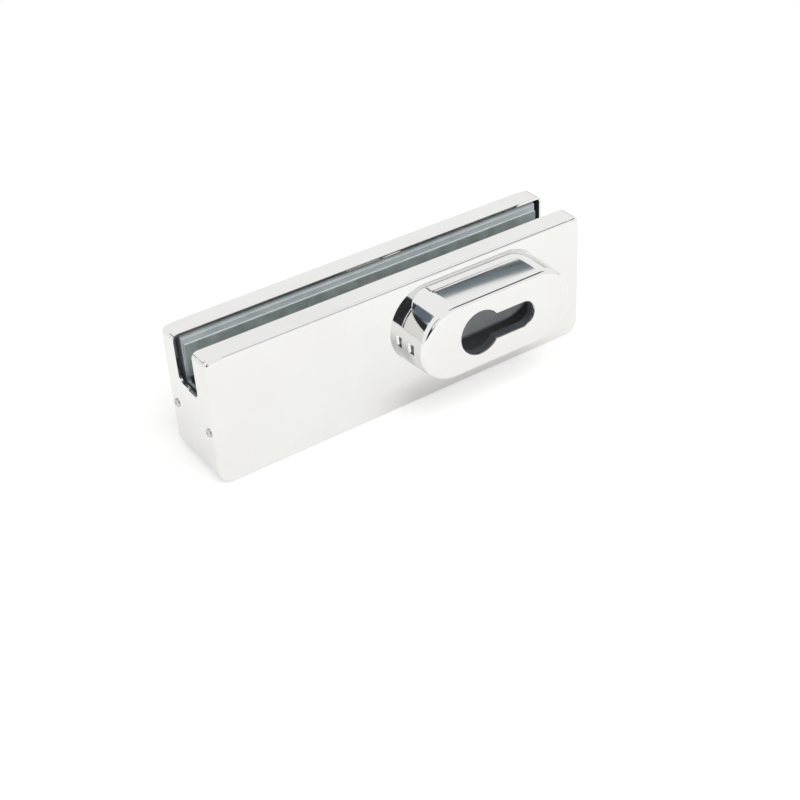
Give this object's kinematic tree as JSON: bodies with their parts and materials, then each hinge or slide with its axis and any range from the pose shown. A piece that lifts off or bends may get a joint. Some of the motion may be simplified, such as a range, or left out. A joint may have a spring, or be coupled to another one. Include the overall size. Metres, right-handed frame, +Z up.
{
  "type": "glass door patch lock",
  "caption": "Patch lock for a frameless glass door: polished covers over a clamp for the glass, an oblong boss with a profile cylinder hole, and a bolt that slides down.",
  "frame": {"origin": "point in the glass pane's middle plane, at the height of the lower face that the covers stand on, halfway along them", "axes": "+X along the door's lower edge towards the cylinder, +Y through the glass from the front cover to the rear one, +Z up, towards the glass slot"},
  "size_m": [0.1666, 0.0521, 0.052],
  "materials": {
    "polished_stainless": "mirror-polished stainless sheet",
    "cast_alloy": "die-cast, tumbled matt",
    "gasket": "pressed fibre, matt",
    "pad": "moulded, matt",
    "case_steel": "zinc-plated, satin",
    "plated_steel": "zinc-plated, bright",
    "bolt_steel": "ground, satin",
    "spring_bronze": "rolled strip, satin",
    "end_screw_steel": "stainless, bright"
  },
  "bodies": {
    "lock_body": {"front_cover": "polished_stainless", "rear_cover": "polished_stainless", "front_clamp_plate": "cast_alloy", "rear_clamp_plate": "cast_alloy", "front_gasket": "gasket", "rear_gasket": "gasket", "left_glass_pad": "pad", "right_glass_pad": "pad", "boss_core": "cast_alloy", "core_screws": "plated_steel", "lock_case": "case_steel", "case_lid": "case_steel", "case_screws": "plated_steel", "stop_pin": "plated_steel", "bolt_spring": "spring_bronze", "cylinder_screw": "plated_steel", "clamp_screws": "plated_steel", "clamp_dowels": "plated_steel", "left_end_screws": "end_screw_steel", "right_end_screws": "end_screw_steel"},
    "bolt": {"bolt": "bolt_steel"}
  },
  "joints": [
    {"name": "bolt_slide", "type": "slide", "parent": "lock_body", "child": "bolt", "axis": [0, 0, -1], "range_m": [0, 0.015]}
  ]
}
